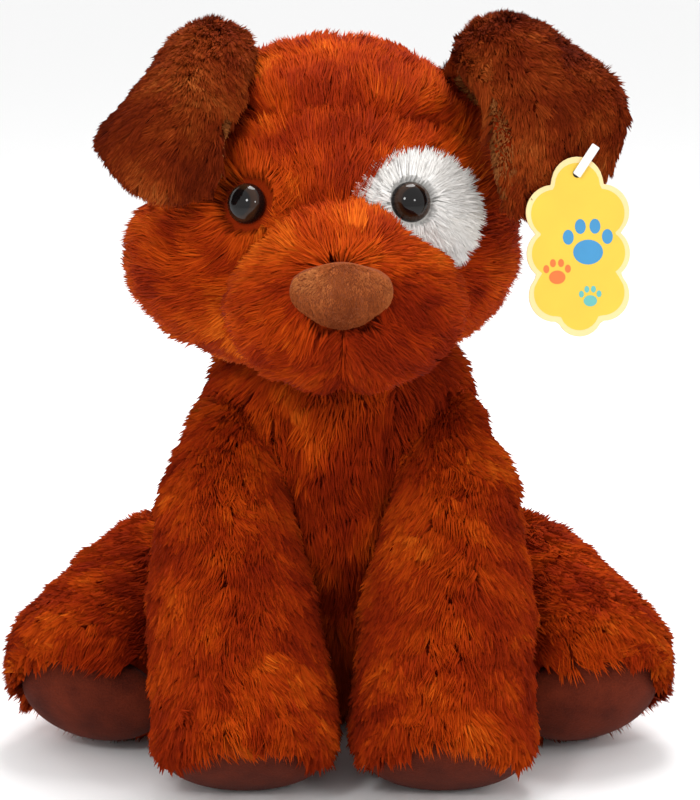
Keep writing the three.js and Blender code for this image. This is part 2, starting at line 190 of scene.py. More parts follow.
def new_material(name, roughness):
    material = bpy.data.materials.new(name)
    material.use_nodes = True
    shader = material.node_tree.nodes["Principled BSDF"]
    shader.inputs["Roughness"].default_value = roughness
    return material, material.node_tree, shader


def link(tree, source, target):
    tree.links.new(source, target)


def ramp(tree, stops):
    node = tree.nodes.new("ShaderNodeValToRGB")
    elements = node.color_ramp.elements
    while len(elements) > 1:
        elements.remove(elements[-1])
    elements[0].position, elements[0].color = stops[0][0], (*stops[0][1], 1)
    for place, colour in stops[1:]:
        elements.new(place).color = (*colour, 1)
    return node


def pile_material(name, root, tones):
    """Pile whose tone lies across its own map and whose root-to-tip shade lies along it."""
    material, tree, shader = new_material(name, 0.82)
    shader.inputs["Specular IOR Level"].default_value = 0.06
    uv = tree.nodes.new("ShaderNodeUVMap")
    uv.uv_map = "OFBake"
    split = tree.nodes.new("ShaderNodeSeparateXYZ")
    link(tree, uv.outputs["UV"], split.inputs["Vector"])
    tone = ramp(tree, tones)
    link(tree, split.outputs["X"], tone.inputs["Fac"])
    shade = ramp(tree, [(0.0, (root,) * 3), (0.45, (0.8,) * 3), (1.0, (1.0,) * 3)])
    link(tree, split.outputs["Y"], shade.inputs["Fac"])
    mix = tree.nodes.new("ShaderNodeMix")
    mix.data_type, mix.blend_type = "RGBA", "MULTIPLY"
    mix.inputs["Factor"].default_value = 1
    link(tree, tone.outputs["Color"], mix.inputs["A"])
    link(tree, shade.outputs["Color"], mix.inputs["B"])
    link(tree, mix.outputs["Result"], shader.inputs["Base Color"])
    return material


def nap_group():
    """Short nap: a colour brushed light and dark in soft patches, with a fine tooth for the bump."""
    group = bpy.data.node_groups.new("short_nap", "ShaderNodeTree")
    for label, kind, default in (
        ("Colour", "NodeSocketColor", (0.5, 0.3, 0.2, 1)),
        ("Light", "NodeSocketColor", (0.7, 0.5, 0.4, 1)),
        ("Patch Scale", "NodeSocketFloat", 60.0),
        ("Tooth Scale", "NodeSocketFloat", 1800.0),
    ):
        socket = group.interface.new_socket(label, in_out="INPUT", socket_type=kind)
        socket.default_value = default
    group.interface.new_socket("Colour", in_out="OUTPUT", socket_type="NodeSocketColor")
    group.interface.new_socket("Height", in_out="OUTPUT", socket_type="NodeSocketFloat")
    entry = group.nodes.new("NodeGroupInput")
    exit_node = group.nodes.new("NodeGroupOutput")
    coordinates = group.nodes.new("ShaderNodeTexCoord")
    patches = group.nodes.new("ShaderNodeTexNoise")
    patches.inputs["Detail"].default_value = 4
    tooth = group.nodes.new("ShaderNodeTexNoise")
    tooth.inputs["Detail"].default_value = 2
    for texture, label in ((patches, "Patch Scale"), (tooth, "Tooth Scale")):
        link(group, coordinates.outputs["Object"], texture.inputs["Vector"])
        link(group, entry.outputs[label], texture.inputs["Scale"])
    sum_node = group.nodes.new("ShaderNodeMath")
    sum_node.operation = "MULTIPLY_ADD"
    sum_node.inputs[1].default_value = 0.45
    link(group, tooth.outputs["Fac"], sum_node.inputs[0])
    link(group, patches.outputs["Fac"], sum_node.inputs[2])
    contrast = group.nodes.new("ShaderNodeMapRange")
    contrast.inputs["From Min"].default_value = 0.45
    contrast.inputs["From Max"].default_value = 0.95
    link(group, sum_node.outputs["Value"], contrast.inputs["Value"])
    mix = group.nodes.new("ShaderNodeMix")
    mix.data_type = "RGBA"
    link(group, contrast.outputs["Result"], mix.inputs["Factor"])
    link(group, entry.outputs["Colour"], mix.inputs["A"])
    link(group, entry.outputs["Light"], mix.inputs["B"])
    link(group, mix.outputs["Result"], exit_node.inputs["Colour"])
    link(group, tooth.outputs["Fac"], exit_node.inputs["Height"])
    return group


def nap_material(name, group, colour, light, patch=60.0, tooth=1800.0, bump=0.25, sheen=0.4):
    material, tree, shader = new_material(name, 0.9)
    shader.inputs["Specular IOR Level"].default_value = 0.08
    shader.inputs["Sheen Weight"].default_value = sheen
    shader.inputs["Sheen Roughness"].default_value = 0.5
    nap = tree.nodes.new("ShaderNodeGroup")
    nap.node_tree = group
    nap.inputs["Colour"].default_value = (*colour, 1)
    nap.inputs["Light"].default_value = (*light, 1)
    nap.inputs["Patch Scale"].default_value = patch
    nap.inputs["Tooth Scale"].default_value = tooth
    height = tree.nodes.new("ShaderNodeBump")
    height.inputs["Strength"].default_value = bump
    height.inputs["Distance"].default_value = 0.0006
    link(tree, nap.outputs["Colour"], shader.inputs["Base Color"])
    link(tree, nap.outputs["Height"], height.inputs["Height"])
    link(tree, height.outputs["Normal"], shader.inputs["Normal"])
    return material


def eye_material(centre, facing):
    """A clear dome over a black pupil and a dark brown ring."""
    material, tree, shader = new_material("eye_gloss", 0.03)
    shader.inputs["Specular IOR Level"].default_value = 0.3
    coordinates = tree.nodes.new("ShaderNodeTexCoord")
    offset = tree.nodes.new("ShaderNodeVectorMath")
    offset.operation = "SUBTRACT"
    offset.inputs[1].default_value = centre
    link(tree, coordinates.outputs["Object"], offset.inputs[0])
    across = tree.nodes.new("ShaderNodeVectorMath")
    across.operation = "CROSS_PRODUCT"
    across.inputs[1].default_value = facing
    link(tree, offset.outputs["Vector"], across.inputs[0])
    length = tree.nodes.new("ShaderNodeVectorMath")
    length.operation = "LENGTH"
    link(tree, across.outputs["Vector"], length.inputs[0])
    radius = tree.nodes.new("ShaderNodeMath")
    radius.operation = "MULTIPLY"
    radius.inputs[1].default_value = 1 / (EYE_RADIUS * MM)
    link(tree, length.outputs["Value"], radius.inputs[0])
    rings = ramp(
        tree,
        [
            (0.0, (0.004, 0.003, 0.003)),
            (0.62, (0.004, 0.003, 0.003)),
            (0.70, (0.022, 0.009, 0.004)),
            (0.88, (0.035, 0.015, 0.007)),
            (0.96, (0.006, 0.004, 0.004)),
        ],
    )
    link(tree, radius.outputs["Value"], rings.inputs["Fac"])
    link(tree, rings.outputs["Color"], shader.inputs["Base Color"])
    return material


def plastic_material(name, colour, roughness, grain=900.0):
    material, tree, shader = new_material(name, roughness)
    coordinates = tree.nodes.new("ShaderNodeTexCoord")
    texture = tree.nodes.new("ShaderNodeTexNoise")
    texture.inputs["Scale"].default_value = grain
    link(tree, coordinates.outputs["Object"], texture.inputs["Vector"])
    shades = ramp(tree, [(0.3, tuple(0.92 * c for c in colour)), (0.7, colour)])
    link(tree, texture.outputs["Fac"], shades.inputs["Fac"])
    link(tree, shades.outputs["Color"], shader.inputs["Base Color"])
    height = tree.nodes.new("ShaderNodeBump")
    height.inputs["Strength"].default_value = 0.08
    height.inputs["Distance"].default_value = 0.0003
    link(tree, texture.outputs["Fac"], height.inputs["Height"])
    link(tree, height.outputs["Normal"], shader.inputs["Normal"])
    return material


NAP = nap_group()
ORANGE = pile_material(
    "orange_pile",
    0.50,
    [
        (0.0, (0.22, 0.012, 0.0008)),
        (0.35, (0.37, 0.027, 0.0012)),
        (0.7, (0.58, 0.064, 0.002)),
        (1.0, (0.84, 0.155, 0.008)),
    ],
)
BROWN = pile_material(
    "ear_pile",
    0.50,
    [
        (0.0, (0.11, 0.009, 0.001)),
        (0.4, (0.21, 0.022, 0.002)),
        (0.75, (0.34, 0.052, 0.006)),
        (1.0, (0.50, 0.120, 0.020)),
    ],
)
LINING = pile_material(
    "ear_lining_pile",
    0.5,
    [
        (0.0, (0.20, 0.050, 0.010)),
        (0.5, (0.38, 0.115, 0.028)),
        (1.0, (0.60, 0.240, 0.080)),
    ],
)
WHITE = pile_material(
    "white_pile",
    0.8,
    [(0.0, (0.93, 0.89, 0.84)), (0.5, (0.97, 0.94, 0.90)), (1.0, (1.0, 0.98, 0.96))],
)
NOSE_PILE = pile_material(
    "nose_pile",
    0.7,
    [(0.0, (0.195, 0.036, 0.008)), (0.5, (0.42, 0.098, 0.024)), (1.0, (0.66, 0.21, 0.062))],
)
BACKING = nap_material("pile_backing", NAP, (0.20, 0.014, 0.001), (0.30, 0.026, 0.001), sheen=0)
WHITE_BACKING = nap_material("white_backing", NAP, (0.55, 0.53, 0.50), (0.75, 0.73, 0.70), sheen=0)
NOSE = nap_material(
    "nose_velvet",
    NAP,
    (0.16, 0.035, 0.011),
    (0.30, 0.078, 0.026),
    patch=110.0,
    tooth=2200.0,
    bump=0.5,
    sheen=0,
)
SUEDE = nap_material(
    "sole_suede",
    NAP,
    (0.040, 0.005, 0.002),
    (0.125, 0.018, 0.006),
    patch=60.0,
    tooth=1500.0,
    bump=0.5,
    sheen=0.03,
)

# ------------------------------------------------------------------ stuffed skins

PILE_DEPTH = 6  # the skins lie this far, in millimetres, under the brushed surface of the pile
SEAT_CLEARANCE = 1.0  # a skin stays this far above the floor
TIP_CLEARANCE = 0.4  # and the pile this far
CLOTH_STEPS = 20
EYE_RADIUS = 7.5
EYE_FLATNESS = 0.82  # height of the dome over its radius
# Each eye's place and the way it faces.
EYES = {
    "left": (at(26, -65.5, 218), Vector((0.30, -0.93, 0.22)).normalized()),
    "right": (at(-33.5, -66, 217.5), Vector((-0.55, -0.80, 0.22)).normalized()),
}


def blob(centre, radii):
    bpy.ops.mesh.primitive_uv_sphere_add(segments=40, ring_count=24, radius=1, location=at(*centre))
    obj = bpy.context.object
    obj.scale = at(*radii) - at(PILE_DEPTH, PILE_DEPTH, PILE_DEPTH)
    return settle(obj)


def beads(start, end, radii, count=12):
    """Overlapping balls from start to end whose radii run smoothly through `radii`."""
    balls = []
    places = np.linspace(0, 1, len(radii))
    for share in np.linspace(0, 1, count):
        radius = float(np.interp(share, places, radii))
        centre = [a + (b - a) * share for a, b in zip(start, end)]
        balls.append(blob(centre, (radius, radius, radius)))
    return balls


def stuffed(name, blobs, voxel=4.0, smooth=10):
    """One closed skin round all the blobs."""
    skin = join(blobs, name)
    apply_modifier(skin, "REMESH", mode="VOXEL", voxel_size=voxel * MM)
    apply_modifier(skin, "SMOOTH", factor=0.5, iterations=smooth)
    return skin


def puff(skin, seams, pressure=4.0, cap=4.0):
    """Fills the skin like a cushion: it swells between its seams, which stay put, by up to
    `cap`."""
    start = points_of(skin.data)
    only(skin)
    group = skin.vertex_groups.new(name="seams")
    for path in seams:
        held = np.nonzero(near_path(start, path) < 4 * MM)[0]
        group.add([int(i) for i in held], 1.0, "REPLACE")
    bpy.ops.object.modifier_add(type="CLOTH")
    cloth = skin.modifiers[-1]
    cloth.settings.quality = 5
    cloth.settings.mass = 0.2
    cloth.settings.tension_stiffness = 12
    cloth.settings.compression_stiffness = 12
    cloth.settings.bending_stiffness = 0.4
    cloth.settings.use_pressure = True
    cloth.settings.uniform_pressure_force = pressure
    cloth.settings.effector_weights.gravity = 0
    if seams:
        cloth.settings.vertex_group_mass = "seams"
    cloth.point_cache.frame_start, cloth.point_cache.frame_end = 1, CLOTH_STEPS
    for step in range(1, CLOTH_STEPS + 1):
        scene.frame_set(step)
    swollen = skin.evaluated_get(bpy.context.evaluated_depsgraph_get()).to_mesh()
    moved = points_of(swollen) - start
    skin.modifiers.remove(cloth)
    scene.frame_set(1)
    distance = np.linalg.norm(moved, axis=1, keepdims=True)
    put_points(skin.data, start + moved * np.minimum(1, cap * MM / np.maximum(distance, 1e-9)))
    apply_modifier(skin, "SUBSURF", levels=1, render_levels=1)


def on_skin(skin, path, steps=8):
    """A path laid on the skin, with points added between the given ones."""
    laid = []
    for start, end in zip(path[:-1], path[1:]):
        for k in range(steps):
            point = at(*start).lerp(at(*end), k / steps)
            laid.append(skin.closest_point_on_mesh(point)[1])
    laid.append(skin.closest_point_on_mesh(at(*path[-1]))[1])
    return laid


def pull_seams(skin, seams, depth=3.0, width=5.0):
    """Draws the skin inward along its seams."""
    points, normals = points_of(skin.data), normals_of(skin.data)
    for path in seams:
        drop = depth * MM * np.exp(-((near_path(points, path) / (width * MM)) ** 2))
        points -= normals * drop[:, None]
    put_points(skin.data, points)


def finish_skin(skin, material, body, covers):
    """Gives a skin its material and its body, and lets it stand for the solids named in `covers`."""
    points = points_of(skin.data)
    points[:, 2] = np.maximum(points[:, 2], SEAT_CLEARANCE * MM)
    put_points(skin.data, points)
    only(skin)
    bpy.ops.object.shade_smooth()
    skin.data.materials.clear()
    skin.data.materials.append(material)
    if body:
        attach(skin, body)
    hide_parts(*covers)


# ------------------------------------------------------------------ pile

def strand_mesh(name, roots, bends, tips, halves, facing, tones, material):
    """One mesh of closed four-cornered strands. Across its map lies a strand's tone, along it the way
    from root to tip. `halves` are the vectors from a strand's bend to its side corners, and `facing`
    shades it like the coat it lies in."""
    count = len(roots)
    points = np.stack([roots, bends - halves, bends + halves, tips], axis=1)
    points[:, :, 2] = np.maximum(points[:, :, 2], TIP_CLEARANCE * MM)
    faces = np.array([(0, 2, 1), (1, 2, 3), (0, 1, 3), (0, 3, 2)])
    corners = (4 * np.arange(count)[:, None, None] + faces[None]).reshape(-1)
    spread = 0.004
    u = np.stack([tones, tones - spread, tones + spread, tones], axis=1)
    v = np.broadcast_to(np.array([0.02, 0.42, 0.42, 0.98]), u.shape)
    map_points = np.stack([u, v], axis=2).reshape(-1, 2)

    mesh = bpy.data.meshes.new(name)
    mesh.vertices.add(4 * count)
    mesh.vertices.foreach_set("co", points.astype(np.float32).ravel())
    mesh.loops.add(len(corners))
    mesh.loops.foreach_set("vertex_index", corners.astype(np.int32))
    mesh.polygons.add(len(corners) // 3)
    mesh.polygons.foreach_set("loop_start", np.arange(0, len(corners), 3, dtype=np.int32))
    mesh.update(calc_edges=True)
    layer = mesh.uv_layers.new(name="OFBake")
    layer.uv.foreach_set("vector", map_points[corners].astype(np.float32).ravel())
    mesh.shade_smooth()
    mesh.normals_split_custom_set_from_vertices(np.repeat(facing, 4, axis=0).astype(np.float32))
    mesh.materials.append(material)
    obj = bpy.data.objects.new(name, mesh)
    scene.collection.objects.link(obj)
    return obj


def scatter(skin, count, keep, rng):
    """Seeded points over the faces that `keep` accepts, with their outward directions."""
    mesh = skin.data
    mesh.calc_loop_triangles()
    corners = np.empty(len(mesh.loop_triangles) * 3, np.int32)
    mesh.loop_triangles.foreach_get("vertices", corners)
    corners = corners.reshape(-1, 3)
    points, normals = points_of(mesh)[corners], normals_of(mesh)[corners]
    area = np.linalg.norm(np.cross(points[:, 1] - points[:, 0], points[:, 2] - points[:, 0]), axis=1)
    weight = area * keep(points.mean(axis=1))
    chosen = rng.choice(len(corners), size=count, p=weight / weight.sum())
    a, b = rng.random(count), rng.random(count)
    over = a + b > 1
    a[over], b[over] = 1 - a[over], 1 - b[over]
    share = np.stack([1 - a - b, a, b], axis=1)[:, :, None]
    return (points[chosen] * share).sum(axis=1), unit((normals[chosen] * share).sum(axis=1))


def nearest(points, centres):
    """The index of the nearest centre to each point."""
    tree = kdtree.KDTree(len(centres))
    for index, centre in enumerate(centres):
        tree.insert(centre, index)
    tree.balance()
    return np.array([tree.find(point)[1] for point in points])


def grow_pile(
    name,
    skin,
    count,
    flow,
    material,
    seed,
    keep=None,
    seams=(),
    length=12.5,
    width=0.31,
    lift=(0.60, 0.24),
    clump_size=40,
    tone=0.42,
    tone_at=None,
    swirl=0.6,
    bare=(),
    pressed=(),
):
    """Combed, tufted pile on a skin. `flow(points, normals)` is the way it is brushed; `lift` is how
    far its lower and upper halves stand off the cloth; `bare` lists (point, radius) left without pile,
    and `pressed` lists (point, radius) where it lies short and flat."""
    rng = np.random.default_rng(seed)
    allowed = keep or (lambda p: np.ones(len(p)))

    def density(p):
        amount = allowed(p).astype(float)
        for centre, radius in bare:
            amount *= np.linalg.norm(p - np.array(centre), axis=1) > radius * MM
        return amount

    points, normals = scatter(skin, count, density, rng)
    inside = density(points) > 0
    points, normals = points[inside], normals[inside]
    count = len(points)
    brushed = flow(points, normals)
    brushed = unit(brushed - (brushed * normals).sum(axis=1, keepdims=True) * normals)
    crossways = np.cross(normals, brushed)

    clumps = rng.choice(count, size=max(1, count // clump_size), replace=False)
    member = nearest(points, points[clumps])
    clump_turn = rng.normal(0, 0.20, len(clumps))[member]
    clump_tone = rng.normal(0, 1, len(clumps))[member]
    clump_long = rng.normal(1, 0.06, len(clumps))[member]
    waves = smooth_noise(points, 0.020, seed)
    turn = clump_turn + rng.normal(0, 0.14, count) + swirl * waves
    brushed = np.cos(turn)[:, None] * brushed + np.sin(turn)[:, None] * crossways

    # Near a seam the pile is shorter, and its tone is painted darker there: painted shade in the seam crease.
    seam_dip_and_shade = np.zeros(count)
    for path in seams:
        seam_dip_and_shade = np.maximum(seam_dip_and_shade, np.exp(-((near_path(points, path) / (4.5 * MM)) ** 2)))
    long = length * MM * clump_long * rng.uniform(0.72, 1.10, count) * (1 - 0.35 * seam_dip_and_shade)
    for centre, radius in pressed:
        under = np.linalg.norm(points - np.array(centre), axis=1) < radius * MM
        long[under] *= 0.35
    tufts = smooth_noise(points, 0.013, seed + 20)
    rise = rng.normal(0, 0.05, count) + 0.16 * tufts
    low = unit(normals * (lift[0] + rise)[:, None] + brushed * (1 - lift[0]))
    high = unit(normals * (lift[1] + rise)[:, None] + brushed * (1 - lift[1]))
    bends = points + low * (0.42 * long)[:, None]
    tips = bends + high * (0.58 * long)[:, None]
    gather = rng.uniform(0.05, 0.30, count)[:, None]
    tips += (tips[clumps][member] - tips) * gather
    roots = points - normals * 0.8 * MM  # a little under the cloth

    twist = rng.normal(0, 0.5, count)[:, None]
    along = unit(tips - roots)
    side = unit(np.cross(along, normals))
    side = np.cos(twist) * side + np.sin(twist) * np.cross(side, along)
    halves = side * (width * MM * rng.uniform(0.75, 1.25, count))[:, None]
    facing = unit(normals + 0.30 * along + 0.16 * rng.normal(0, 1, points.shape))

    tones = tone + 0.07 * clump_tone + rng.normal(0, 0.07, count)
    # The tone follows the noise that lifts the tufts, so raised tufts are painted lighter and sunken ones
    # darker: painted light and shade. The second noise is random tone.
    tones += 0.45 * tufts + 0.30 * smooth_noise(points, 0.035, seed + 40) - 0.35 * seam_dip_and_shade
    if tone_at:
        tones += tone_at(points)
    return strand_mesh(name, roots, bends, tips, halves, facing, np.clip(tones, 0.02, 0.98), material)


def brushed_to(direction):
    """Pile that all lies one way."""
    way = np.array(direction, float)
    return lambda points, normals: np.broadcast_to(way, points.shape).copy()


def brushed_from(centre, extra=(0, 0, 0)):
    """Pile that lies away from a point, with a constant pull."""
    middle, pull = np.array(centre), np.array(extra, float)
    return lambda points, normals: unit(points - middle) + pull


# ------------------------------------------------------------------ head

NOSE_CENTRE = (1, -111, 191.5)
PATCH = {"centre": (27, 212), "radii": (20, 18)}  # across and up the face


def in_patch(points, grow=0.0):
    """Whether each point lies on the white patch, made larger by `grow` all round."""
    x = (points[:, 0] / MM - PATCH["centre"][0]) / (PATCH["radii"][0] + grow)
    z = (points[:, 2] / MM - PATCH["centre"][1]) / (PATCH["radii"][1] + grow)
    return (x**2 + z**2 < 1) & (points[:, 1] < -30 * MM)


def make_head():
    skin = stuffed(
        "head_skin",
        [
            blob((-7, -22, 191), (75, 58, 43)),
            blob((-2, -12, 214), (63, 59, 60)),
            blob((-2, -24, 205), (70, 56, 48)),
        ],
    )
    brow = on_skin(skin, [(-52, -46, 246), (-24, -60, 252), (0, -62, 254), (24, -60, 252), (50, -46, 246)])
    crown = on_skin(skin, [(0, 0, 274), (0, 24, 264), (0, 44, 240), (0, 44, 190)])
    puff(skin, [brow, crown])
    pull_seams(skin, [brow], depth=2.5)
    pull_seams(skin, [crown], depth=1.5)
    finish_skin(skin, BACKING, "head", ["head_cover", "head_stuffing", "eye_patch"])
    skin.data.materials.append(WHITE_BACKING)
    for face in skin.data.polygons:
        centre = np.array([face.center])
        face.material_index = 1 if in_patch(centre, -1)[0] else 0

    cheeks = blob((2, -78, 182), (44, 38, 32))
    bridge = blob((0, -74, 200), (27, 32, 22))
    muzzle = stuffed("muzzle_skin", [cheeks, bridge], 3.5)
    lip = on_skin(muzzle, [(2, -122, 182), (2, -118, 168), (2, -104, 156), (2, -84, 150)])
    puff(muzzle, [lip], cap=3.0)
    pull_seams(muzzle, [lip], depth=4.0, width=3.5)
    finish_skin(muzzle, BACKING, "head", ["muzzle_cover", "muzzle_stuffing"])

    nose = at(*NOSE_CENTRE)
    eyes = [(EYES["left"][0], 7.6), (EYES["right"][0], 8.8)]
    from_nose = brushed_from(nose + at(0, 40, 0), (0, 0.25, -0.15))
    right_eye = np.array(EYES["right"][0])

    def away(points, normals):
        """Away from the nose, and off the right eye, which the pile would hide."""
        gap = points - right_eye
        near = np.exp(-((np.linalg.norm(gap, axis=1) / (15 * MM)) ** 2))
        return from_nose(points, normals) + 2.5 * near[:, None] * unit(gap)

    # Painted highlight on the top of the muzzle and painted shade under it: the pile's tone rises with
    # height.
    def painted_light_from_above(points):
        return 0.30 * np.clip((points[:, 2] / MM - 184) / 24, -0.6, 1)

    def coat(points):
        return ~in_patch(points) & (points[:, 2] > 145 * MM)

    def front(points):
        return coat(points) & (points[:, 1] < -20 * MM)

    def back_left(points):
        return coat(points) & (points[:, 1] >= -20 * MM) & (points[:, 0] >= 0)

    def back_right(points):
        return coat(points) & (points[:, 1] >= -20 * MM) & (points[:, 0] < 0)

    common = {"seams": [brow, crown], "bare": eyes, "tone": 0.50}
    piles = [
        grow_pile("head_pile_face", skin, 49000, away, ORANGE, 11, keep=front, **common),
        grow_pile("head_pile_back_left", skin, 22000, away, ORANGE, 12, keep=back_left, **common),
        grow_pile("head_pile_back_right", skin, 22000, away, ORANGE, 13, keep=back_right, **common),
        grow_pile(
            "muzzle_pile",
            muzzle,
            34000,
            brushed_from(nose + at(0, 26, -5), (0, 0.1, -0.1)),
            ORANGE,
            14,
            seams=[lip],
            bare=[(nose, 12.5)],
            length=11.5,
            tone=0.44,
            tone_at=painted_light_from_above,
        ),
        grow_pile(
            "eye_patch_pile",
            skin,
            9000,
            brushed_from(EYES["left"][0], (0, 0, -0.1)),
            WHITE,
            15,
            tone=0.6,
            keep=in_patch,
            bare=eyes,
            length=9,
            lift=(0.75, 0.35),
        ),
    ]
    for pile in piles:
        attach(pile, "head")


def make_nose():
    """A stuffed velvet pad, wide above and rounded below."""
    x, y, z = NOSE_CENTRE
    balls = [blob((x + side * 7.5, y + 1, z + 1.5), (17.5, 15.5, 15)) for side in (-1, 1)]
    balls += [blob((x, y - 0.5, z + 0.5), (21, 17, 18)), blob((x, y + 0.5, z - 3.5), (17, 15.5, 14.5))]
    skin = stuffed("nose_velvet_pad", balls, 2.0, 6)
    apply_modifier(skin, "SUBSURF", levels=1, render_levels=1)
    finish_skin(skin, NOSE, "head", ["nose"])

    def front(points):
        return points[:, 1] < (y - 2) * MM

    # Painted highlight on the top of the nose and painted shade under it: the pile's tone rises with height.
    def painted_light_from_above(points):
        return 0.25 * np.clip((points[:, 2] / MM - z) / 12, -1, 1)

    pile = grow_pile(
        "nose_pile",
        skin,
        6000,
        brushed_to((0, 0.1, -1)),
        NOSE_PILE,
        91,
        keep=front,
        length=1.5,
        width=0.10,
        lift=(0.40, 0.15),
        tone_at=painted_light_from_above,
    )
    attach(pile, "head")


def make_eyes():
    for side, (centre, facing) in EYES.items():
        bpy.ops.object.select_all(action="DESELECT")
        bpy.ops.mesh.primitive_uv_sphere_add(segments=48, ring_count=32, radius=EYE_RADIUS * MM)
        eye = bpy.context.object
        eye.name = f"eye_dome_{side}"
        eye.scale = (1, 1, EYE_FLATNESS)
        eye.rotation_euler = facing.to_track_quat("Z", "Y").to_euler()
        eye.location = centre
        settle(eye)
        bpy.ops.object.shade_smooth()
        eye.data.materials.append(eye_material(centre, facing))
        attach(eye, "head")
        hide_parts(f"eye_{side}")


# ------------------------------------------------------------------ ears

# Points of each folded ear in rows, from the root over the fold to the tip.
EAR_ROWS = {
    "left": [
        [(36, -8, 246), (44, -6, 244), (52, -4, 240), (58, -5, 233), (64, -6, 226)],
        [(44, -20, 260), (50, -18, 267), (60, -16, 270), (73, -16, 265), (84, -16, 254)],
        [(54, -41, 261), (48, -34, 268), (63, -37, 277), (80, -34, 269), (95, -32, 259)],
        [(61, -57, 251), (55, -52, 254), (73, -59, 254), (88, -52, 251), (103, -46, 250)],
        [(64, -68, 235), (58, -63, 237), (74, -64, 234), (88, -55, 233), (100, -52, 236)],
        [(65, -70, 220), (61, -68, 219), (74, -68, 214), (84, -62, 217), (92, -58, 222)],
    ],
    "right": [
        [(-30, -8, 252), (-38, -6, 250), (-45, -4, 246), (-51, -5, 239), (-57, -6, 232)],
        [(-34, -20, 264), (-40, -18, 268), (-47, -18, 270), (-54, -18, 266), (-60, -18, 258)],
        [(-42, -39, 262), (-38, -34, 268), (-48, -37, 274), (-56, -34, 271), (-62, -31, 264)],
        [(-44, -56, 252), (-40, -53, 254), (-54, -62, 256), (-66, -56, 254), (-73, -44, 252)],
        [(-43, -67, 240), (-47, -65, 239), (-60, -71, 239), (-74, -64, 240), (-84, -50, 240)],
        [(-44, -72, 226), (-53, -65, 224), (-63, -74, 224), (-73, -67, 227), (-80, -58, 232)],
    ],
}


def ear_sheet(name, rows, thickness):
    """A folded ear, with the middle sheet's points, their outward directions and a row's length."""
    across, down = 18, 34
    net = np.array(rows, float) * MM

    def through(places, share):
        """A point on the smooth curve through evenly spaced places."""
        t = share * (len(places) - 1)
        k = min(int(t), len(places) - 2)
        t -= k
        p = [places[min(max(k + d, 0), len(places) - 1)] for d in (-1, 0, 1, 2)]
        return 0.5 * (
            2 * p[1]
            + (p[2] - p[0]) * t
            + (2 * p[0] - 5 * p[1] + 4 * p[2] - p[3]) * t**2
            + (3 * p[1] - p[0] - 3 * p[2] + p[3]) * t**3
        )

    columns = [np.array([through(row, i / across) for row in net]) for i in range(across + 1)]
    grid = np.array([[through(column, j / down) for column in columns] for j in range(down + 1)])
    normals = unit(np.cross(np.gradient(grid, axis=1), np.gradient(grid, axis=0)))
    flap_way = normals[int(0.75 * down), across // 2]
    if flap_way[1] > 0:
        normals = -normals
    edge_u = np.abs(np.linspace(-1, 1, across + 1))[None, :, None]
    edge_v = np.abs(np.linspace(-1, 1, down + 1))[:, None, None]
    plump_u = np.sqrt(np.clip(1 - edge_u**4, 0.05, 1))
    plump_v = np.sqrt(np.clip(1 - edge_v**8, 0.05, 1))
    plump = thickness * MM / 2 * plump_u * plump_v
    layers = [grid + normals * plump, grid - normals * plump]

    size = (across + 1) * (down + 1)

    def index(layer, i, j):
        return layer * size + j * (across + 1) + i

    faces = []
    for j in range(down):
        for i in range(across):
            square = [(i, j), (i + 1, j), (i + 1, j + 1), (i, j + 1)]
            faces.append([index(0, *corner) for corner in square])
            faces.append([index(1, *corner) for corner in reversed(square)])
    rim = [(i, 0) for i in range(across)] + [(across, j) for j in range(down)]
    rim += [(i, down) for i in range(across, 0, -1)] + [(0, j) for j in range(down, 0, -1)]
    for first, second in zip(rim, rim[1:] + rim[:1]):
        faces.append([index(0, *second), index(0, *first), index(1, *first), index(1, *second)])
    mesh = bpy.data.meshes.new(name)
    mesh.from_pydata([tuple(p) for layer in layers for p in layer.reshape(-1, 3)], [], faces)
    obj = bpy.data.objects.new(name, mesh)
    scene.collection.objects.link(obj)
    only(obj)
    bpy.ops.object.mode_set(mode="EDIT")
    bpy.ops.mesh.select_all(action="SELECT")
    bpy.ops.mesh.normals_make_consistent(inside=False)
    bpy.ops.object.mode_set(mode="OBJECT")
    apply_modifier(obj, "SUBSURF", levels=1, render_levels=1)
    return obj, grid.reshape(-1, 3), normals.reshape(-1, 3), (across + 1)


def make_ears():
    for index, (side, rows) in enumerate(EAR_ROWS.items()):
        skin, grid, outward, row_size = ear_sheet(f"ear_skin_{side}", rows, 5)
        finish_skin(skin, BACKING, None, [f"ear_flap_{side}", f"ear_lining_{side}", f"ear_root_{side}"])
        tree = kdtree.KDTree(len(grid))
        for k, point in enumerate(grid):
            tree.insert(point, k)
        tree.balance()
        downward = unit(np.gradient(grid.reshape(-1, row_size, 3), axis=0)).reshape(-1, 3)

        def sides(points):
            """How far each point lies to the outer plush side, and the way down the sheet there."""
            found = np.array([tree.find(point)[1] for point in points])
            offset = ((points - grid[found]) * outward[found]).sum(axis=1)
            return offset, downward[found]

        def plush_side(points):
            return sides(points)[0] > 0.0

        def lining_side(points):
            return sides(points)[0] < -0.6 * MM

        def to_tip(points, normals):
            return sides(points)[1]

        plush = grow_pile(
            f"ear_pile_{side}",
            skin,
            28000,
            to_tip,
            BROWN,
            31 + index,
            keep=plush_side,
            length=8.5,
            lift=(0.55, 0.25),
            swirl=0.8,
            tone=0.5,
            pressed=[(at(82, -66, 221), 15)] if side == "left" else (),
        )
        lining = grow_pile(
            f"ear_lining_pile_{side}",
            skin,
            9000,
            to_tip,
            LINING,
            35 + index,
            keep=lining_side,
            length=3.0,
            lift=(0.7, 0.4),
        )
        for piece in (skin, plush, lining):
            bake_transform(piece)


# ------------------------------------------------------------------ torso


